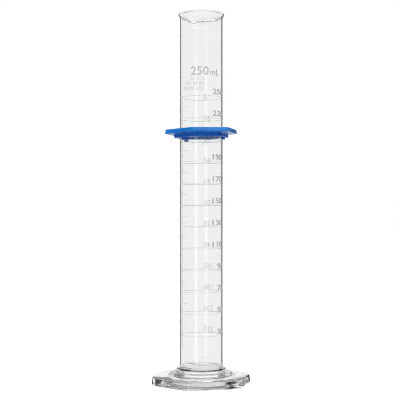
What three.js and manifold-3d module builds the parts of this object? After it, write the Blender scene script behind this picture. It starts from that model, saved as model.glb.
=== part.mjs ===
// A 250 mL graduated cylinder: a drawn glass tube with a poured lip, a pressed hexagonal glass foot
// fused round its closed end, and a moulded hexagonal bumper guard that grips the tube by friction.
// Millimetres, +Z up along the tube, origin at the middle of the foot's underside.
// The hexagons of foot and guard have their corners at 0, 60, 120... degrees from +X.
import * as THREE from 'three';
import { mergeVertices } from 'three/addons/utils/BufferGeometryUtils.js';
import Module from 'manifold-3d';

// Tube
const HEIGHT = 330;
const TUBE_R = 19.25;
const WALL = 1.05;
const BORE_R = TUBE_R - WALL;
const TUBE_BASE_Z = 11.4;
const FLOOR_Z = 14;
const FLOOR_RISE = 1.6;
const LIP_R = 20.7;
const NECK_Z = HEIGHT - 4;

// Pouring spout, pressed out of the lip
const SPOUT_ANGLE = THREE.MathUtils.degToRad(95);
const SPOUT_HALF_WIDTH = THREE.MathUtils.degToRad(26);
const SPOUT_REACH = 4.2;
const SPOUT_DEPTH = 9;
const SPOUT_DIP = 2.2;

// Foot
const FOOT_APOTHEM = 41.4;
const FOOT_CORNER = 18;
const FOOT_EDGE = 7.2;
const FOOT_DRAFT = THREE.MathUtils.degToRad(5);
const FOOT_REST_R = 29.4;
const FOOT_HOLLOW = 1.2;
const COLLAR_R = 27.6;
const COLLAR_Z = 9.8;
const COLLAR_TOP_Z = 15.3;
const COLLAR_GROOVES = [[24.6, 11.3], [21.1, 13.5]]; // radius and height of each
const RING_BULGE = 0.5;
const FUSE_GAP = 0.05;

// Bumper guard
const PLATE_APOTHEM = 29.1;
const PLATE_CORNER = 2.5;
const PLATE_LOW_Z = 222.7;
const PLATE_THICK = 3.9;
const HUB_APOTHEM = 21.9;
const HUB_CORNER = 1.5;
const HUB_LOW_Z = 219.2;
const GUARD_BORE_R = 19.7;
const FINGER_HEIGHT = 2.2;
const FINGER_WIDTH = 5;
const FINGER_OUTER_R = 21.2;
const FINGER_ANGLES = [120, 206, 330];
const LEAN = THREE.MathUtils.degToRad(1.15);
const LEAN_TOWARDS = THREE.MathUtils.degToRad(2);

const SEGMENTS = 72;

// ---- Small helpers -------------------------------------------------------------------------

/** Points of an arc in the profile plane, from angle a to angle b in degrees, both ends included. */
function arc(centreR, centreZ, radius, a, b, steps) {
  return Array.from({ length: steps + 1 }, (_, i) => {
    const t = THREE.MathUtils.degToRad(a + ((b - a) * i) / steps);
    return [centreR + radius * Math.cos(t), centreZ + radius * Math.sin(t)];
  });
}

/** Turns a closed [radius, z] profile, listed from the axis anticlockwise, into a solid about +Z. */
function turned(profile) {
  const points = profile.map(([r, z]) => new THREE.Vector2(r, z));
  return new THREE.LatheGeometry(points, SEGMENTS).rotateX(Math.PI / 2);
}

/** Moves every vertex of a geometry by a function of its cylindrical place (r, angle, z). */
function reshape(geometry, move) {
  const place = geometry.attributes.position;
  for (let i = 0; i < place.count; i++) {
    const [x, y, z] = [place.getX(i), place.getY(i), place.getZ(i)];
    const angle = Math.atan2(y, x);
    const [r, newZ] = move(Math.hypot(x, y), angle, z);
    place.setXYZ(i, r * Math.cos(angle), r * Math.sin(angle), newZ);
  }
  geometry.computeVertexNormals();
  return geometry;
}

/** Distance from the middle of a round-cornered hexagon to its edge, at an angle from +X. */
function hexagonRadius(apothem, corner, angle) {
  const step = Math.PI / 3;
  const fromCorner = Math.abs(angle - step * Math.round(angle / step));
  const centre = (apothem - corner) / Math.cos(step / 2);
  const arcEnd = Math.atan2(corner * Math.sin(step / 2), centre + corner * Math.cos(step / 2));
  if (fromCorner > arcEnd) return apothem / Math.cos(step / 2 - fromCorner);
  return centre * Math.cos(fromCorner) + Math.sqrt(corner ** 2 - (centre * Math.sin(fromCorner)) ** 2);
}

/** The same hexagon as a flat outline. */
function hexagonShape(apothem, corner) {
  const shape = new THREE.Shape();
  const centre = (apothem - corner) / Math.cos(Math.PI / 6);
  for (let k = 0; k < 6; k++) {
    const a = (k * Math.PI) / 3;
    const [x, y] = [centre * Math.cos(a), centre * Math.sin(a)];
    shape.absarc(x, y, corner, a - Math.PI / 6, a + Math.PI / 6);
  }
  return shape.closePath();
}

const wasm = await Module();
wasm.setup();

/** A closed surface as a solid that can be joined and cut. */
function toSolid(geometry) {
  const bare = geometry.index ? geometry.toNonIndexed() : geometry.clone();
  bare.deleteAttribute('normal');
  bare.deleteAttribute('uv');
  const merged = mergeVertices(bare, 1e-4);
  return new wasm.Manifold(new wasm.Mesh({
    numProp: 3,
    vertProperties: new Float32Array(merged.attributes.position.array),
    triVerts: new Uint32Array(merged.index.array),
  }));
}

function toGeometry(solid) {
  const { vertProperties, triVerts } = solid.getMesh();
  const geometry = new THREE.BufferGeometry();
  geometry.setAttribute('position', new THREE.BufferAttribute(vertProperties, 3));
  geometry.setIndex(new THREE.BufferAttribute(triVerts, 1));
  geometry.computeVertexNormals();
  return geometry;
}

function part(name, geometry, material) {
  const mesh = new THREE.Mesh(geometry, material);
  mesh.name = name;
  return mesh;
}

// ---- Tube ----------------------------------------------------------------------------------

/** How strongly the spout is pressed out here: 1 at the lip on its middle line, 0 off the spout. */
function spoutShare(angle, z) {
  const off = Math.abs(Math.atan2(Math.sin(angle - SPOUT_ANGLE), Math.cos(angle - SPOUT_ANGLE)));
  if (off >= SPOUT_HALF_WIDTH) return 0;
  const rise = THREE.MathUtils.smoothstep(z, HEIGHT - SPOUT_DEPTH, HEIGHT);
  return rise * Math.cos((off / SPOUT_HALF_WIDTH) * (Math.PI / 2)) ** 2;
}

function tubeGeometry() {
  const heel = 1.5;
  const bead = (HEIGHT - NECK_Z) / 4;
  const levels = [0.25, 0.5, 0.75].map((t) => NECK_Z - SPOUT_DEPTH * (1 - t));
  const outside = [[0, TUBE_BASE_Z], ...arc(TUBE_R - heel, TUBE_BASE_Z + heel, heel, -90, 0, 3)];
  const wallOut = levels.map((z) => [TUBE_R, z]);
  const lip = [
    [TUBE_R, NECK_Z],
    [TUBE_R + 0.15, NECK_Z + 1.1],
    [TUBE_R + 0.6, NECK_Z + 2],
    ...arc(LIP_R - bead, HEIGHT - bead, bead, -45, 180, 5),
    [BORE_R + 0.9, NECK_Z + 2.2],
    [BORE_R + 0.2, NECK_Z + 1.2],
    [BORE_R, NECK_Z],
  ];
  const wallIn = levels.toReversed().map((z) => [BORE_R, z]);
  const inside = Array.from({ length: 9 }, (_, i) => {
    const t = (i / 8) * (Math.PI / 2);
    return [i < 8 ? BORE_R * Math.cos(t) : 0, FLOOR_Z + FLOOR_RISE * (1 - Math.sin(t))];
  });
  return reshape(turned([...outside, ...wallOut, ...lip, ...wallIn, ...inside]), (r, angle, z) => {
    const share = spoutShare(angle, z);
    return [r + SPOUT_REACH * share, z - SPOUT_DIP * share];
  });
}

// ---- Foot ----------------------------------------------------------------------------------

/** Half section of the collar: soft rings pressed one above the other, with narrow grooves between. */
function collarProfile(socketR) {
  const steps = 4;
  const joints = [[COLLAR_R, COLLAR_Z - 0.2], ...COLLAR_GROOVES, [socketR, COLLAR_TOP_Z]];
  const [slopeR, slopeZ] = [COLLAR_TOP_Z - COLLAR_Z, COLLAR_R - socketR];
  const slope = Math.hypot(slopeR, slopeZ);
  const rings = joints.slice(1).flatMap(([r, z], k) => Array.from({ length: steps }, (_, i) => {
    const up = i / steps;
    const bulge = (RING_BULGE * Math.sin(Math.PI * up) ** 0.7) / slope;
    return [
      THREE.MathUtils.lerp(joints[k][0], r, up) + bulge * slopeR,
      THREE.MathUtils.lerp(joints[k][1], z, up) + bulge * slopeZ,
    ];
  }));
  return [...rings, joints.at(-1)];
}

function footGeometry() {
  const edgeR = FOOT_APOTHEM / Math.cos(Math.PI / 6); // the profile is drawn through a sharp corner
  const topEdgeR = edgeR - FOOT_EDGE * Math.tan(FOOT_DRAFT);
  const socketR = TUBE_R + FUSE_GAP;
  const profile = [
    [0, FOOT_HOLLOW],
    [FOOT_REST_R - 4, FOOT_HOLLOW],
    [FOOT_REST_R - 1, FOOT_HOLLOW / 3],
    [FOOT_REST_R, 0],
    ...arc(edgeR - 1.2, 1.2, 1.2, -90, 5, 3),
    ...arc(topEdgeR - 1.1, FOOT_EDGE - 1.1, 1.1, 5, 84, 3),
    [topEdgeR - 6, FOOT_EDGE + 0.4],
    [COLLAR_R + 5, COLLAR_Z - 1.7],
    [COLLAR_R + 0.9, COLLAR_Z - 0.9],
    ...collarProfile(socketR),
    [socketR, TUBE_BASE_Z],
    [0, TUBE_BASE_Z],
  ];
  return reshape(turned(profile), (r, angle, z) => {
    const share = THREE.MathUtils.smoothstep(r, COLLAR_R, edgeR);
    const outline = hexagonRadius(FOOT_APOTHEM, FOOT_CORNER, angle) / edgeR;
    return [r * (1 + share * (outline - 1)), z];
  });
}

// ---- Bumper guard --------------------------------------------------------------------------

/** One moulding: a hexagonal plate over a smaller hexagonal hub, with grip fingers below the hub. */
function guardGeometry() {
  const chamfer = 0.4;
  const hexagon = (apothem, corner, lowZ, height) => new THREE.ExtrudeGeometry(
    hexagonShape(apothem - chamfer, corner),
    {
      depth: height - 2 * chamfer,
      bevelSize: chamfer,
      bevelThickness: chamfer,
      bevelSegments: 1,
      curveSegments: 3,
    },
  ).translate(0, 0, lowZ + chamfer);
  const cylinder = (radius, lowZ, height) => new THREE.CylinderGeometry(radius, radius, height, SEGMENTS)
    .rotateX(Math.PI / 2).translate(0, 0, lowZ + height / 2);

  // Heights here are measured from the plate's underside.
  const top = PLATE_THICK;
  const hubLow = HUB_LOW_Z - PLATE_LOW_Z;
  const low = hubLow - FINGER_HEIGHT;
  const plate = toSolid(hexagon(PLATE_APOTHEM, PLATE_CORNER, 0, top));
  const hub = toSolid(hexagon(HUB_APOTHEM, HUB_CORNER, hubLow, top / 2 - hubLow));
  const ring = toSolid(cylinder(FINGER_OUTER_R, low, -low));
  const fingers = FINGER_ANGLES.map((degrees) => ring.intersect(toSolid(
    new THREE.BoxGeometry(FINGER_OUTER_R, FINGER_WIDTH, -2 * low)
      .translate(FINGER_OUTER_R, 0, 0)
      .rotateZ(THREE.MathUtils.degToRad(degrees)),
  )));
  const hole = toSolid(cylinder(GUARD_BORE_R, 2 * low, top - 4 * low));
  const joined = fingers.reduce((body, finger) => body.add(finger), plate.add(hub));
  return toGeometry(joined.subtract(hole));
}

// ---- Assembly ------------------------------------------------------------------------------

const borosilicate = new THREE.MeshStandardMaterial({
  color: 0xeef3f3, roughness: 0.03, metalness: 0, transparent: true, opacity: 0.35,
});
const pressedGlass = new THREE.MeshStandardMaterial({
  color: 0xe6eeec, roughness: 0.06, metalness: 0, transparent: true, opacity: 0.45,
});
const bluePlastic = new THREE.MeshStandardMaterial({ color: 0x1f66c4, roughness: 0.35, metalness: 0 });

const vessel = new THREE.Group();
vessel.add(part('glass_tube', tubeGeometry(), borosilicate));
vessel.add(part('glass_foot', footGeometry(), pressedGlass));

// The guard sits a little askew on the tube, as a pushed-on guard does.
const guard = new THREE.Group();
guard.position.z = PLATE_LOW_Z;
guard.quaternion.setFromAxisAngle(
  new THREE.Vector3(Math.sin(LEAN_TOWARDS), -Math.cos(LEAN_TOWARDS), 0),
  LEAN,
);
guard.add(part('bumper_guard', guardGeometry(), bluePlastic));

const group = new THREE.Group();
group.add(vessel, guard);

export default group;
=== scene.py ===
# Looks of a 250 mL graduated cylinder: one fused glass vessel, a fired enamel scale printed on the
# outside of its tube, and a blue moulded guard. Metres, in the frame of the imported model.
import math

import bmesh
import bpy
from mathutils import Matrix, Vector


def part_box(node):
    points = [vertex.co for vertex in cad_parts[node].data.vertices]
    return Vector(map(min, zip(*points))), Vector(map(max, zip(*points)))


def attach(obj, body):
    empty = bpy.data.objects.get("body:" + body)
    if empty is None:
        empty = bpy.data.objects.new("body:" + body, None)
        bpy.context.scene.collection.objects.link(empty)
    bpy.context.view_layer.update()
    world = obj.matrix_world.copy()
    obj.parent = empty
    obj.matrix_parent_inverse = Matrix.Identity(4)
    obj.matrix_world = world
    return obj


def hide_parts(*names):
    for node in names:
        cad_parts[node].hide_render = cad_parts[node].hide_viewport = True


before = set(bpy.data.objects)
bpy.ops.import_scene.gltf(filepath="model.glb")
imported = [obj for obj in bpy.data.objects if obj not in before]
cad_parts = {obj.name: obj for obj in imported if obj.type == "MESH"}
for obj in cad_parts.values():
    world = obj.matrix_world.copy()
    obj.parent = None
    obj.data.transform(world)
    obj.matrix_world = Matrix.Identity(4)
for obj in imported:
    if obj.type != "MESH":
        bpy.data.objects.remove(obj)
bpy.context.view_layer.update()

MM = 0.001
tube_low, tube_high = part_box("glass_tube")
foot_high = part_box("glass_foot")[1]

# Tube: the CAD box gives the lip and the height, the rest are the real glass's own sizes.
HEIGHT = tube_high.z
LIP_R = tube_high.x
LIP_BEAD = 0.85 * MM
TUBE_R = LIP_R - 1.45 * MM
WALL = 1.05 * MM
BORE_R = TUBE_R - WALL
NECK_Z = HEIGHT - 4.4 * MM
FLOOR_Z = tube_low.z + 2.6 * MM
FLOOR_RISE = 1.6 * MM
TUBE_ROWS, SPOUT_ROWS, BOWL_ROWS = 26, 12, 16

# Spout: a dent pressed outwards and down at one place of the lip.
SPOUT_ANGLE = math.radians(95)
SPOUT_HALF_WIDTH = math.radians(26)
SPOUT_SHARPNESS = 2.4
SPOUT_REACH = 4.2 * MM
SPOUT_DEPTH = 9 * MM
SPOUT_DIP = 2.2 * MM

# Foot: a pressed hexagon with its corners at 0, 60, 120... degrees. Its edge leans in by the draft, in
# degrees, and rolls over at the top until it faces TOP_TURN degrees up.
FOOT_APOTHEM = foot_high.y
FOOT_CORNER = 18 * MM
FOOT_EDGE = 7.2 * MM
FOOT_DRAFT, TOP_TURN = 5, 84
FOOT_SHARP_R = FOOT_APOTHEM / math.cos(math.pi / 6)
LOW_ROUND, TOP_ROUND = 1.2 * MM, 1.1 * MM
REST_R = 29.4 * MM
HOLLOW = 1.2 * MM

# Collar: three soft rings, each from one groove to the next, bulging square to the collar's slope.
COLLAR_R = 27.6 * MM
COLLAR_Z = 9.8 * MM
COLLAR_TOP_Z = foot_high.z
GROOVES = (
    (COLLAR_R, COLLAR_Z - 0.2 * MM),
    (24.6 * MM, 11.3 * MM),
    (21.1 * MM, 13.5 * MM),
    (TUBE_R, COLLAR_TOP_Z),
)
RING_POINTS = 9
RING_BULGE = 0.5 * MM
BULGE_OUT, BULGE_UP = 0.55, 0.83
BULGE_FULLNESS = 0.7

# Shade bead: painted shade, a dark bead over the groove nearest the tube where the glass shows a dark
# line. It is thicker at each lump: (view angle in degrees, spread in radians, amount).
SHADE_BEAD_HALF = 0.6 * MM
SHADE_BEAD_R = GROOVES[2][0]
SHADE_BEAD_Z = GROOVES[2][1] + 0.25 * MM
SHADE_BEAD_SHARE = 0.8
SHADE_BEAD_LUMPS = ((-47, 0.22, 0.35), (55, 0.13, 0.9))
SHADE_BEAD_SIDES, SHADE_BEAD_STEPS = 10, 144

# Guard: a plate over a smaller hub, leaning a little on the tube. The plate's underside is at PLATE_Z,
# and the hub's and the fingers' heights are counted from it.
PLATE_APOTHEM = 29.1 * MM
PLATE_CORNER = 2.5 * MM
PLATE_Z = 222.7 * MM
PLATE_THICK = 3.9 * MM
PLATE_DRAFT = 0.38 * MM
HUB_APOTHEM = 21.9 * MM
HUB_CORNER = 1.5 * MM
HUB_Z = -3.5 * MM
GUARD_EDGE = 0.6 * MM
GUARD_BORE_R = 19.7 * MM
FINGER_LOW = HUB_Z - 2.2 * MM
FINGER_OUTER_R = 21.2 * MM
FINGER_WIDTH = 5 * MM
FINGER_STEPS = 12
FINGER_ANGLES = (120, 206, 330)
LEAN = math.radians(1.15)
LEAN_TOWARDS = math.radians(2)

# Scale: one millilitre is ML high in the tube, and nothing of it would stand at ZERO_Z. Lines go from
# one view angle to another, in degrees, where 0 faces the camera and 90 is to its right.
ML = 1e-6 / (math.pi * BORE_R**2)
ZERO_Z = FLOOR_Z + 0.7 * MM
CAPACITY, LOWEST_LINE, GRADUATION = 250, 20, 2
INK = 0.07 * MM
INK_GAP = 0.01 * MM
LINE = 0.32 * MM
LINE_STEP = 2
LONG_LINE, MIDDLE_LINE, SHORT_LINE = (-180, 180), (-112, -36), (-112, -57)

# Lettering: heights, lifts above the line, view angles where it starts or ends, and weights. The
# numerals start sooner with three digits than with two.
NUMERALS = range(30, 251, 20)
NUMERAL_HEIGHT, NUMERAL_LIFT, NUMERAL_STRETCH = 5.0 * MM, 1.6 * MM, 1.35
NUMERAL_START = {2: 47, 3: 31}
REVERSE_HEIGHT, REVERSE_LIFT, REVERSE_END, REVERSE_BOLD = 4.8 * MM, 0.6 * MM, 173, -0.004
MARK_Z, MARK_BOLD = 273.2 * MM, 0.012
SMALL_HEIGHT, SMALL_END = 2.8 * MM, 8.5
SMALL_PRINT = (("TC 20°C", 268.9 * MM), ("TOL ±2 mL", 264.8 * MM), ("GRAD 2 mL", 260.3 * MM))
LETTER_BOLD = 0.022
LETTER_CUT = 0.6 * MM
SAME_POINT = 1e-5

# Camera: level with the tube's lower half, looking from this side.
VIEW_AZIMUTH = math.radians(-15.6)
CAMERA_DISTANCE = 0.920
CAMERA_HEIGHT = 0.1453
LENS, SENSOR = 92.6, 36
SHIFT_X, SHIFT_Y = -0.0033, 0.0515
TOWARDS_CAMERA = Vector((math.sin(VIEW_AZIMUTH), -math.cos(VIEW_AZIMUTH), 0))
VIEW_RIGHT = Vector((math.cos(VIEW_AZIMUTH), math.sin(VIEW_AZIMUTH), 0))
FRONT = math.atan2(TOWARDS_CAMERA.y, TOWARDS_CAMERA.x)

# Studio, in degrees: "turn" is off straight behind the cylinder to either side, "up" is above level,
# and "aside" is off straight in front, to the right. A pair in FLAG_OUTER and FLAG_BOTTOM is the
# left-hand and the right-hand flag, and each of the other pairs is the two ends of a range.
EDGE_SOFT = 1.5
SIDE_BLEND = 0.1
FLAG_INNER, FLAG_OUTER = 20, (34, 44)
FLAG_BOTTOM, FLAG_BOTTOM_SOFT = (-10, -8.3), 0.3
FLAG_TOP = (15, 12)
CEILING_LOW, CEILING_HIGH, CEILING_TURN = (23, 48), (65, 95), (45, 38)
DARK = 0.03
ROOM, OVERHEAD, OVERHEAD_UP = 0.91, 1.8, (35, 60)
ROOM_DIM, DIM_TURN, DIM_UP = 0.2, (55, 85), (45, 25)
TABLE, TABLE_UP = 0.8, (-14, -30)
SOFTBOX = {"aside": (-36, -20), "aside_soft": 4, "up": (-20, 9), "up_soft": 3, "light": 1.5}
FILL = {"aside": (12, 52), "aside_soft": 6, "up": (13, 24), "up_soft": 1, "light": 2.6}
KEY_LIGHT, KEY_SPREAD, KEY_TURN, KEY_RISE = 2.0, 25, -5, 0.85


# ---- Mesh helpers --------------------------------------------------------------------------

def smoothstep(low, high, value):
    t = min(1, max(0, (value - low) / (high - low)))
    return t * t * (3 - 2 * t)


def arc(r, z, radius, start, end, steps=6):
    """Points of an arc in the profile plane, start and end in degrees."""
    turns = [math.radians(start + (end - start) * i / steps) for i in range(steps + 1)]
    return [(r + radius * math.cos(t), z + radius * math.sin(t)) for t in turns]


def rounded(points, steps=6):
    """A smooth curve (Catmull-Rom) through a few profile points."""
    path = [points[0], *points, points[-1]]
    out = []
    for i in range(1, len(path) - 2):
        p = [Vector(path[i + k]) for k in (-1, 0, 1, 2)]
        for k in range(steps):
            t = k / steps
            a = 2 * p[1] + (p[2] - p[0]) * t + (2 * p[0] - 5 * p[1] + 4 * p[2] - p[3]) * t**2
            out.append(tuple((a + (3 * p[1] - p[0] - 3 * p[2] + p[3]) * t**3) / 2))
    return [*out, points[-1]]


def new_object(name, data):
    made = bpy.data.objects.new(name, data)
    bpy.context.scene.collection.objects.link(made)
    return made


def from_bmesh(name, bm, smooth=True):
    bmesh.ops.recalc_face_normals(bm, faces=bm.faces)
    mesh = bpy.data.meshes.new(name)
    bm.to_mesh(mesh)
    bm.free()
    for face in mesh.polygons:
        face.use_smooth = smooth
    return new_object(name, mesh)


def skin_rings(bm, rings, close=False):
    """Joins rings of vertices, each with the same count, by quads. close joins the last to the first."""
    pairs = list(zip(rings, rings[1:]))
    if close:
        pairs.append((rings[-1], rings[0]))
    for low, high in pairs:
        for i in range(len(low)):
            j = (i + 1) % len(low)
            bm.faces.new((low[i], low[j], high[j], high[i]))


def cap(bm, ring, centre):
    """Closes a ring of vertices with triangles to a point in its middle."""
    middle = bm.verts.new(centre)
    for i, vertex in enumerate(ring):
        bm.faces.new((vertex, ring[(i + 1) % len(ring)], middle))


def hexagon_radius(apothem, corner, angle):
    """Distance from the middle of a round-cornered hexagon to its edge, at an angle from +X."""
    step = math.pi / 3
    off = abs(angle - step * round(angle / step))
    centre = (apothem - corner) / math.cos(step / 2)
    arc_end = math.atan2(corner * math.sin(step / 2), centre + corner * math.cos(step / 2))
    if off > arc_end:
        return apothem / math.cos(step / 2 - off)
    return centre * math.cos(off) + math.sqrt(corner**2 - (centre * math.sin(off)) ** 2)


def polar(r, angle, z):
    return Vector((r * math.cos(angle), r * math.sin(angle), z))


# ---- Material helpers ----------------------------------------------------------------------

class Nodes:
    """Adds and links the nodes of one material or world."""

    def __init__(self, tree):
        self.tree = tree
        tree.nodes.clear()

    def set(self, node, inputs):
        """Sets a node's inputs by name or number: a socket is linked, anything else is a value."""
        for name, value in inputs.items():
            if isinstance(value, bpy.types.NodeSocket):
                self.tree.links.new(value, node.inputs[name])
            else:
                node.inputs[name].default_value = value

    def add(self, kind, inputs, **settings):
        node = self.tree.nodes.new(kind)
        for name, value in settings.items():
            setattr(node, name, value)
        self.set(node, inputs)
        return node

    def maths(self, operation, a, b=0.0):
        return self.add("ShaderNodeMath", {0: a, 1: b}, operation=operation).outputs[0]

    def product(self, first, *others):
        for other in others:
            first = self.maths("MULTIPLY", first, other)
        return first

    def dot(self, vector, direction):
        inputs = {0: vector, 1: tuple(direction)}
        node = self.add("ShaderNodeVectorMath", inputs, operation="DOT_PRODUCT")
        return node.outputs["Value"]

    def ramp(self, value, low, high, to_low=0.0, to_high=1.0):
        """A smooth change from to_low to to_high as value goes from low to high."""
        limits = {"Value": value, "From Min": low, "From Max": high, "To Min": to_low, "To Max": to_high}
        return self.add("ShaderNodeMapRange", limits, interpolation_type="SMOOTHSTEP").outputs[0]

    def mix(self, factor, a, b):
        return self.add("ShaderNodeMix", {"Factor": factor, "A": a, "B": b}).outputs[0]

    def mix_colour(self, factor, a, b):
        node = self.add("ShaderNodeMix", {"Factor": factor, "A": a, "B": b}, data_type="RGBA")
        return node.outputs["Result"]

    def noise(self, vector, scale, detail=2.0, stretch=(1, 1, 1)):
        placed = self.add("ShaderNodeMapping", {"Vector": vector, "Scale": stretch}).outputs[0]
        inputs = {"Vector": placed, "Scale": scale, "Detail": detail}
        return self.add("ShaderNodeTexNoise", inputs).outputs["Fac"]

    def bump(self, height, strength, distance):
        inputs = {"Height": height, "Strength": strength, "Distance": distance}
        return self.add("ShaderNodeBump", inputs).outputs[0]


def material(name):
    """A new material, its nodes, its principled shader and the object coordinates."""
    made = bpy.data.materials.new(name)
    made.use_nodes = True
    nodes = Nodes(made.node_tree)
    shader = nodes.add("ShaderNodeBsdfPrincipled", {})
    nodes.add("ShaderNodeOutputMaterial", {"Surface": shader.outputs[0]})
    place = nodes.add("ShaderNodeTexCoord", {}).outputs["Object"]
    return made, nodes, shader, place


def glass_material():
    """Clear borosilicate: drawn streaks along the tube, and the pressing's faint waves low down."""
    made, nodes, shader, place = material("vessel_glass")
    streaks = nodes.noise(place, 220, stretch=(1, 1, 0.04))
    waves = nodes.noise(place, 70, detail=3)
    height = nodes.dot(place, (0, 0, 1))
    pressed = (COLLAR_TOP_Z, COLLAR_TOP_Z - 5 * MM)
    low = nodes.ramp(height, *pressed)
    relief = nodes.mix(low, streaks, waves)
    strength = nodes.ramp(height, *pressed, 0.02, 0.08)
    nodes.set(shader, {
        "Base Color": (0.986, 0.991, 0.99, 1),
        "Transmission Weight": 1.0,
        "IOR": 1.474,
        "Roughness": nodes.product(low, nodes.ramp(waves, 0.35, 0.75, 0.02, 0.1)),
        "Normal": nodes.bump(relief, strength, 0.3 * MM),
    })
    return made


def seam_material():
    """Smoky, nearly black glass with faint streaks: painted shade for the dark line at the collar's
    groove.
    """
    made, nodes, shader, place = material("painted_shade_glass")
    streaks = nodes.ramp(nodes.noise(place, 400, detail=3), 0.35, 0.65)
    nodes.set(shader, {
        "Base Color": nodes.mix_colour(streaks, (0.0, 0.0, 0.002, 1), (0.06, 0.06, 0.065, 1)),
        "Roughness": 0.15,
        "Alpha": 0.95,
    })
    return made


def enamel_material(name, dark, light, cover):
    """Fired enamel print: grey, faintly uneven where the screen laid it down. cover is its opacity."""
    made, nodes, shader, place = material(name)
    grain = nodes.noise(place, 2600, detail=3)
    shade = nodes.ramp(grain, 0.3, 0.7)
    nodes.set(shader, {
        "Base Color": nodes.mix_colour(shade, (dark, dark, dark, 1), (light, light, light, 1)),
        "Roughness": nodes.ramp(grain, 0.3, 0.7, 0.45, 0.6),
        "Alpha": cover,
        "Normal": nodes.bump(grain, 0.2, 0.02 * MM),
    })
    return made


def plastic_material():
    """Glossy blue moulded plastic with soft flow marks and a fine moulded skin. The thin plate is
    painted a darker blue than the hub under it, as painted shade, and a faint painted glow lies over it
    all."""
    made, nodes, shader, place = material("guard_plastic")
    flow = nodes.noise(place, 60, detail=4, stretch=(1, 1, 2.5))
    marks = nodes.ramp(flow, 0.3, 0.7)
    # One plastic in two shades: the plate's blue is painted darker than the hub's, as painted shade.
    hub_lit_blue = nodes.mix_colour(marks, (0.0, 0.125, 0.54, 1), (0.0, 0.17, 0.68, 1))
    plate_shaded_blue = nodes.mix_colour(marks, (0.0, 0.125, 0.44, 1), (0.004, 0.18, 0.57, 1))
    height = nodes.dot(place, (0, 0, 1))
    plate_shade_share = nodes.ramp(height, PLATE_Z - 0.5 * MM, PLATE_Z + 1.0 * MM)
    skin = nodes.noise(place, 2200)
    relief = nodes.maths("ADD", nodes.product(skin, 0.25), flow)
    nodes.set(shader, {
        "Base Color": nodes.mix_colour(plate_shade_share, hub_lit_blue, plate_shaded_blue),
        "Roughness": nodes.ramp(flow, 0.3, 0.7, 0.2, 0.32),
        "IOR": 1.5,
        # Painted light: a faint blue glow over the whole guard, which is no lamp.
        "Emission Color": (0.0, 0.1, 0.5, 1),
        "Emission Strength": 0.1,
        "Normal": nodes.bump(relief, 0.25, 0.1 * MM),
    })
    return made


# ---- Glass vessel --------------------------------------------------------------------------

def spout_share(angle, z):
    """1 on the spout's middle line at the lip, 0 off the spout."""
    off = abs(math.remainder(angle - SPOUT_ANGLE, 2 * math.pi)) / SPOUT_HALF_WIDTH
    if off >= 1:
        return 0.0
    across = math.cos(off * math.pi / 2) ** SPOUT_SHARPNESS
    return across * smoothstep(HEIGHT - SPOUT_DEPTH, HEIGHT, z)


def foot_profile():
    """The foot's half section, from the flat of its hollow underside round its edge to the collar."""
    top_edge = FOOT_SHARP_R - FOOT_EDGE * math.tan(math.radians(FOOT_DRAFT))
    under = rounded([
        (18 * MM, HOLLOW),
        (25 * MM, HOLLOW),
        (REST_R - 1.5 * MM, 0.3 * MM),
        (REST_R, 0),
    ])
    under += arc(FOOT_SHARP_R - LOW_ROUND, LOW_ROUND, LOW_ROUND, -90, FOOT_DRAFT)
    side = arc(top_edge - TOP_ROUND, FOOT_EDGE - TOP_ROUND, TOP_ROUND, FOOT_DRAFT, TOP_TURN)
    top = rounded([
        side[-1],
        (top_edge - 6 * MM, FOOT_EDGE + 0.4 * MM),
        (COLLAR_R + 5 * MM, COLLAR_Z - 1.7 * MM),
        (COLLAR_R + 0.9 * MM, COLLAR_Z - 0.9 * MM),
        (COLLAR_R + 0.3 * MM, COLLAR_Z - 0.6 * MM),
    ])
    return [*under, *side, *top[1:]]


def collar_profile():
    """The collar's half section, ring by ring, from the foot's top up to the tube."""
    points = []
    for low, high in zip(GROOVES, GROOVES[1:]):
        for i in range(RING_POINTS):
            along = i / RING_POINTS
            bulge = RING_BULGE * math.sin(math.pi * along) ** BULGE_FULLNESS
            r = low[0] + (high[0] - low[0]) * along + bulge * BULGE_OUT
            z = low[1] + (high[1] - low[1]) * along + bulge * BULGE_UP
            points.append((r, z))
    return [*points, GROOVES[-1]]


def tube_profile():
    """The tube's half section, up the outside, over the lip, down the bore and in over the floor."""
    start = COLLAR_TOP_Z + 2 * MM
    spout_z = NECK_Z - SPOUT_DEPTH
    outside = [(TUBE_R, start + (spout_z - start) * i / TUBE_ROWS) for i in range(TUBE_ROWS + 1)]
    outside += [(TUBE_R, NECK_Z - SPOUT_DEPTH * (1 - i / SPOUT_ROWS)) for i in range(1, SPOUT_ROWS)]
    flare = rounded([
        (TUBE_R, NECK_Z),
        (TUBE_R + 0.15 * MM, NECK_Z + 0.8 * MM),
        (TUBE_R + 0.75 * MM, NECK_Z + 1.6 * MM),
    ], 4)
    bead = arc(LIP_R - LIP_BEAD, HEIGHT - LIP_BEAD, LIP_BEAD, -50, 180, 10)
    mouth = rounded([
        (BORE_R + 0.9 * MM, HEIGHT - 1.8 * MM),
        (BORE_R + 0.2 * MM, HEIGHT - 2.8 * MM),
        (BORE_R, NECK_Z),
    ], 4)
    lowest = FLOOR_Z + FLOOR_RISE + 0.5 * MM
    inside = [(BORE_R, z) for _, z in reversed(outside) if z > lowest]
    bowl = [math.radians(90 * i / BOWL_ROWS) for i in range(BOWL_ROWS)]
    floor = [(BORE_R * math.cos(t), FLOOR_Z + FLOOR_RISE * (1 - math.sin(t))) for t in bowl]
    return [*outside, *flare, *bead, *mouth, *inside, *floor]


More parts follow.
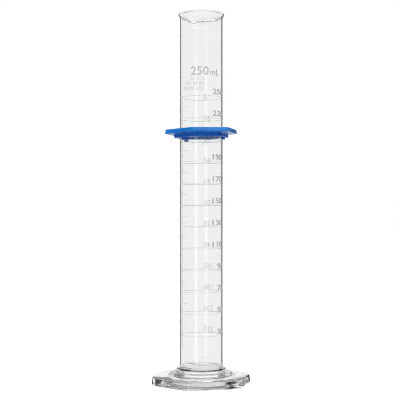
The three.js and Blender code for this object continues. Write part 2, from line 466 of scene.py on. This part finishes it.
def make_vessel():
    """Foot and tube as one piece of glass: rings that turn from hexagonal at the edge of the foot to
    round at the collar, with the spout pushed out of the lip."""
    segments = 288
    bm = bmesh.new()
    rings = []
    for r, z in [*foot_profile(), *collar_profile(), *tube_profile()]:
        hexed = smoothstep(COLLAR_R, FOOT_SHARP_R, r)
        ring = []
        for i in range(segments):
            angle = 2 * math.pi * i / segments
            outline = hexagon_radius(FOOT_APOTHEM, FOOT_CORNER, angle) / FOOT_SHARP_R
            share = spout_share(angle, z)
            reach = r * (1 + hexed * (outline - 1)) + SPOUT_REACH * share
            ring.append(bm.verts.new(polar(reach, angle, z - SPOUT_DIP * share)))
        rings.append(ring)
    skin_rings(bm, rings)
    cap(bm, rings[0], (0, 0, HOLLOW))
    cap(bm, rings[-1], (0, 0, FLOOR_Z))
    vessel = from_bmesh("glass_vessel", bm)
    vessel.data.materials.append(glass_material())
    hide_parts("glass_tube", "glass_foot")
    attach(vessel, "vessel")


def seam_share(angle):
    """How thick the bead of painted shade is round the collar."""
    turn = math.remainder(angle - FRONT, 2 * math.pi)
    share = SHADE_BEAD_SHARE
    for where, spread, amount in SHADE_BEAD_LUMPS:
        share += amount * math.exp(-((turn - math.radians(where)) / spread) ** 2)
    return share


def make_seam():
    """A thin smoky bead round the top of the collar: painted shade, a dark line over the groove nearest
    the tube.
    """
    bm = bmesh.new()
    rings = []
    for i in range(SHADE_BEAD_SIDES):
        t = 2 * math.pi * i / SHADE_BEAD_SIDES
        ring = []
        for k in range(SHADE_BEAD_STEPS):
            angle = math.radians(360 / SHADE_BEAD_STEPS * k)
            half = SHADE_BEAD_HALF * seam_share(angle)
            r, z = SHADE_BEAD_R + half * math.cos(t), SHADE_BEAD_Z + half * math.sin(t)
            ring.append(bm.verts.new(polar(r, angle, z)))
        rings.append(ring)
    skin_rings(bm, rings, close=True)
    shade_bead = from_bmesh("painted_shade_bead", bm)
    shade_bead.data.materials.append(seam_material())
    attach(shade_bead, "vessel")


# ---- Enamel scale --------------------------------------------------------------------------

def level(millilitres):
    return ZERO_Z + millilitres * ML


def add_band(bm, start, end, z):
    """A thin raised line round the tube between two view angles in degrees, 0 facing the camera."""
    steps = round(abs(end - start) / LINE_STEP)
    whole = abs(end - start) >= 360
    inner, outer = TUBE_R + INK_GAP, TUBE_R + INK_GAP + INK
    low, high = z - LINE / 2, z + LINE / 2
    rings = []
    for i in range(steps if whole else steps + 1):
        angle = FRONT + math.radians(start + (end - start) * i / steps)
        corners = ((inner, low), (outer, low), (outer, high), (inner, high))
        rings.append([bm.verts.new(polar(r, angle, h)) for r, h in corners])
    skin_rings(bm, rings, close=whole)
    if not whole:
        bm.faces.new(rings[0])
        bm.faces.new(rings[-1])


def flat_letters(text, height, stretch, bold):
    """Letters of a height as a flat mesh, cut into strips narrow enough to bend round the tube."""
    curve = bpy.data.curves.new("letters", "FONT")
    curve.body = text
    curve.resolution_u = 4
    curve.offset = bold
    writing = new_object("letters", curve)
    depsgraph = bpy.context.evaluated_depsgraph_get()
    flat = bpy.data.meshes.new_from_object(writing.evaluated_get(depsgraph))
    bpy.data.objects.remove(writing)
    letters = bmesh.new()
    letters.from_mesh(flat)
    bpy.data.meshes.remove(flat)
    bmesh.ops.remove_doubles(letters, verts=letters.verts, dist=SAME_POINT)
    scale = height / max(v.co.y for v in letters.verts)
    bmesh.ops.scale(letters, vec=(scale * stretch, scale, 1), verts=letters.verts)
    left = min(v.co.x for v in letters.verts)
    right = max(v.co.x for v in letters.verts)
    cuts = max(1, math.ceil((right - left) / LETTER_CUT))
    for i in range(1, cuts):
        place = (left + (right - left) * i / cuts, 0, 0)
        parts = [*letters.verts, *letters.edges, *letters.faces]
        bmesh.ops.bisect_plane(letters, geom=parts, plane_co=place, plane_no=(1, 0, 0))
    return letters, left, right


def add_text(bm, text, height, z, start=None, end=None, stretch=1.0, bold=LETTER_BOLD):
    """Raised text wrapped on the tube with its foot at z. It starts at view angle start, or if that is
    left out it ends at view angle end."""
    letters, left, right = flat_letters(text, height, stretch, bold)
    raised = bmesh.ops.extrude_face_region(letters, geom=letters.faces[:])["geom"]
    top = {v for v in raised if isinstance(v, bmesh.types.BMVert)}
    if start is not None:
        shift = math.radians(start) - left / TUBE_R
    else:
        shift = math.radians(end) - right / TUBE_R
    copies = {}
    for v in letters.verts:
        r = TUBE_R + INK_GAP + (INK if v in top else 0)
        copies[v] = bm.verts.new(polar(r, FRONT + shift + v.co.x / TUBE_R, z + v.co.y))
    for face in letters.faces:
        bm.faces.new([copies[v] for v in face.verts])
    letters.free()


def enamel_piece(name, bm, enamel):
    piece = from_bmesh(name, bm, smooth=False)
    piece.data.materials.append(enamel)
    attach(piece, "vessel")


def line_span(amount):
    """Long lines stand at the numerals, middle lines halfway between them, short lines elsewhere."""
    if amount % 20 == 10:
        return LONG_LINE
    if amount % 20 == 0:
        return MIDDLE_LINE
    return SHORT_LINE


def make_scale():
    enamel = enamel_material("scale_enamel", 0.62, 0.74, 0.5)
    strong = enamel_material("numeral_enamel", 0.48, 0.6, 0.7)
    faint = enamel_material("reverse_enamel", 0.66, 0.78, 0.3)

    lines = {span: bmesh.new() for span in (LONG_LINE, MIDDLE_LINE, SHORT_LINE)}
    for amount in range(LOWEST_LINE, CAPACITY + 1, GRADUATION):
        span = line_span(amount)
        add_band(lines[span], *span, level(amount))
    enamel_piece("scale_long_lines", lines[LONG_LINE], enamel)
    enamel_piece("scale_middle_lines", lines[MIDDLE_LINE], enamel)
    enamel_piece("scale_short_lines", lines[SHORT_LINE], enamel)

    front, back = bmesh.new(), bmesh.new()
    for amount in NUMERALS:
        text = str(amount)
        add_text(front, text, NUMERAL_HEIGHT, level(amount) + NUMERAL_LIFT,
                 start=NUMERAL_START[len(text)], stretch=NUMERAL_STRETCH)
        add_text(back, str(CAPACITY - amount), REVERSE_HEIGHT, level(amount) + REVERSE_LIFT,
                 end=REVERSE_END, bold=REVERSE_BOLD)
    enamel_piece("scale_numerals", front, strong)
    enamel_piece("reverse_numerals", back, faint)

    mark, small = bmesh.new(), bmesh.new()
    add_text(mark, "250", 7.4 * MM, MARK_Z, start=-28.6, stretch=1.06, bold=MARK_BOLD)
    add_text(mark, "mL", 5.2 * MM, MARK_Z, start=24, stretch=1.05, bold=MARK_BOLD)
    for text, z in SMALL_PRINT:
        add_text(small, text, SMALL_HEIGHT, z, end=SMALL_END)
    enamel_piece("capacity_mark", mark, strong)
    enamel_piece("calibration_text", small, enamel)


# ---- Bumper guard --------------------------------------------------------------------------

def leaning():
    """The guard's small lean, turned about the middle of the plate's underside, and its height."""
    axis = Vector((math.sin(LEAN_TOWARDS), -math.cos(LEAN_TOWARDS), 0))
    return Matrix.Translation((0, 0, PLATE_Z)) @ Matrix.Rotation(LEAN, 4, axis)


def outline_angles():
    """Angles round the guard, close together at the hexagons' corners."""
    near = [0, 0.5, 1, 1.5, 2, 2.6, 3.4, 5]
    offsets = sorted({*near, *(-n for n in near), *range(-30, 30, 3)} - {-3, 3})
    return [math.radians(60 * k + off) for k in range(6) for off in offsets]


def guard_radii(angle):
    """How far the guard's three outlines are from its axis at an angle."""
    return {
        "plate": hexagon_radius(PLATE_APOTHEM, PLATE_CORNER, angle),
        "hub": hexagon_radius(HUB_APOTHEM, HUB_CORNER, angle),
        "bore": GUARD_BORE_R,
    }


def guard_section():
    """The moulding's section as (outline, distance in from it, height), one rounded edge after another:
    the plate's lower and upper edge, the bore's two ends, the hub's lower edge, and the inner corner
    between hub and plate."""
    turns = [math.radians(15 * i) for i in range(7)]
    edge = [(GUARD_EDGE * (1 - math.sin(t)), GUARD_EDGE * (1 - math.cos(t))) for t in turns]
    section = [("plate", near, far) for near, far in edge]
    section += [("plate", PLATE_DRAFT + far, PLATE_THICK - near) for near, far in edge]
    section += [("bore", -near, PLATE_THICK - far) for near, far in edge]
    section += [("bore", -far, HUB_Z + near) for near, far in edge]
    section += [("hub", near, HUB_Z + far) for near, far in edge]
    section += [("hub", -far, -near) for near, far in edge]
    return section


def guard_piece(piece, blue):
    """Leans a piece of the guard with the rest of it and gives it its plastic and its body."""
    piece.data.transform(leaning())
    piece.data.materials.append(blue)
    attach(piece, "guard")


def make_guard():
    blue = plastic_material()
    angles = outline_angles()
    radii = [guard_radii(a) for a in angles]
    bm = bmesh.new()
    rings = []
    for outline, inset, z in guard_section():
        rings.append([bm.verts.new(polar(r[outline] - inset, a, z)) for a, r in zip(angles, radii)])
    skin_rings(bm, rings, close=True)
    moulding = from_bmesh("guard_moulding", bm)
    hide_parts("bumper_guard")
    guard_piece(moulding, blue)

    fingers = bmesh.new()
    half = FINGER_WIDTH / 2 / FINGER_OUTER_R
    root = HUB_Z + GUARD_EDGE
    corners = ((GUARD_BORE_R, root), (GUARD_BORE_R, FINGER_LOW),
               (FINGER_OUTER_R, FINGER_LOW), (FINGER_OUTER_R, root))
    for middle in FINGER_ANGLES:
        rings = []
        for i in range(FINGER_STEPS + 1):
            a = math.radians(middle) + half * (2 * i / FINGER_STEPS - 1)
            rings.append([fingers.verts.new(polar(r, a, z)) for r, z in corners])
        skin_rings(fingers, rings)
        fingers.faces.new(rings[0])
        fingers.faces.new(rings[-1])
    guard_piece(from_bmesh("guard_grip_fingers", fingers, smooth=False), blue)


# ---- Studio --------------------------------------------------------------------------------

def make_camera():
    data = bpy.data.cameras.new("camera")
    data.lens = LENS
    data.sensor_width = SENSOR
    data.shift_x = SHIFT_X
    data.shift_y = SHIFT_Y
    data.clip_start = 0.01
    data.clip_end = 50
    camera = new_object("camera", data)
    camera.location = TOWARDS_CAMERA * CAMERA_DISTANCE + Vector((0, 0, CAMERA_HEIGHT))
    camera.rotation_euler = (math.pi / 2, 0, VIEW_AZIMUTH)
    bpy.context.scene.camera = camera


def make_world():
    """What the glass shows: a white studio with a dark flag behind the cylinder on each side and two
    dark bands above, which draw the glass's edges. In front are a softbox on the left and a higher fill
    strip on the right. The room at the sides and in front is dim, but only in reflections. Below level
    everything is a little darker, as over a table. The camera itself sees plain white."""
    world = bpy.data.worlds.new("studio")
    world.use_nodes = True
    bpy.context.scene.world = world
    nodes = Nodes(world.node_tree)
    look = nodes.add("ShaderNodeTexCoord", {}).outputs["Generated"]
    path = nodes.add("ShaderNodeLightPath", {}).outputs
    right = nodes.dot(look, VIEW_RIGHT)
    front = nodes.dot(look, TOWARDS_CAMERA)
    up = nodes.maths("DEGREES", nodes.maths("ARCSINE", nodes.dot(look, (0, 0, 1))))
    behind = nodes.maths("MULTIPLY", front, -1)
    turn = nodes.maths("DEGREES", nodes.maths("ARCTAN2", nodes.maths("ABSOLUTE", right), behind))
    aside = nodes.maths("DEGREES", nodes.maths("ARCTAN2", right, front))

    def past(value, edge, soft):
        return nodes.ramp(nodes.maths("SUBTRACT", value, edge), -soft, soft)

    def inside(value, low, high, soft=EDGE_SOFT):
        rise = nodes.ramp(value, low - soft, low + soft)
        return nodes.product(rise, nodes.ramp(value, high + soft, high - soft))

    def by_side(pair):
        return nodes.ramp(right, -SIDE_BLEND, SIDE_BLEND, *pair)

    flags = nodes.product(
        past(turn, FLAG_INNER, EDGE_SOFT),
        past(by_side(FLAG_OUTER), turn, EDGE_SOFT),
        nodes.ramp(up, *FLAG_TOP),
        past(up, by_side(FLAG_BOTTOM), FLAG_BOTTOM_SOFT),
    )
    bands = nodes.maths("MAXIMUM", inside(up, *CEILING_LOW), inside(up, *CEILING_HIGH))
    ceiling = nodes.product(nodes.ramp(turn, *CEILING_TURN), bands)
    dark = nodes.maths("MAXIMUM", flags, ceiling)

    far_up, near_up = DIM_UP
    dim = nodes.product(
        nodes.ramp(turn, *DIM_TURN),
        nodes.ramp(up, far_up, near_up),
        nodes.ramp(up, -far_up, -near_up),
        nodes.maths("SUBTRACT", 1, path["Is Transmission Ray"]),
    )
    room = nodes.mix(dim, nodes.ramp(up, *OVERHEAD_UP, ROOM, OVERHEAD), ROOM_DIM)
    room = nodes.product(room, nodes.ramp(up, *TABLE_UP, 1.0, TABLE))
    light = nodes.mix(dark, room, DARK)
    for lamp in (SOFTBOX, FILL):
        across = inside(aside, *lamp["aside"], soft=lamp["aside_soft"])
        along = inside(up, *lamp["up"], soft=lamp["up_soft"])
        light = nodes.maths("ADD", light, nodes.product(across, along, lamp["light"]))
    strength = nodes.mix(path["Is Camera Ray"], light, 1.0)
    shader = nodes.add("ShaderNodeBackground", {"Color": (1, 1, 1, 1), "Strength": strength})
    nodes.add("ShaderNodeOutputWorld", {"Surface": shader.outputs[0]})


def make_key_light():
    """A large soft lamp in front of the cylinder and above it. Glass shows no image of it."""
    data = bpy.data.lights.new("key", "SUN")
    data.energy = KEY_LIGHT
    data.angle = math.radians(KEY_SPREAD)
    lamp = new_object("key", data)
    level_way = Matrix.Rotation(math.radians(KEY_TURN), 3, "Z") @ TOWARDS_CAMERA
    towards = level_way + Vector((0, 0, KEY_RISE))
    lamp.rotation_euler = towards.to_track_quat("Z", "Y").to_euler()
    lamp.visible_glossy = False
    lamp.visible_transmission = False


def make_floor():
    """Pale paper just under the foot. Only the camera sees it, so it doesn't shade the glass."""
    bm = bmesh.new()
    bmesh.ops.create_grid(bm, x_segments=1, y_segments=1, size=6)
    floor = from_bmesh("floor", bm)
    floor.location.z = -0.02 * MM
    made, nodes, shader, _ = material("floor_paper")
    nodes.set(shader, {
        "Base Color": (0.5, 0.5, 0.5, 1),
        "Roughness": 0.9,
        "Emission Color": (1, 1, 1, 1),
        "Emission Strength": 0.62,
    })
    floor.data.materials.append(made)
    floor.visible_glossy = False
    floor.visible_transmission = False
    floor.visible_diffuse = False


make_camera()
make_world()
make_floor()
make_key_light()
make_vessel()
make_seam()
make_scale()
make_guard()
bpy.context.scene.view_settings.view_transform = "Standard"
bpy.context.scene.cycles.filter_width = 1.0
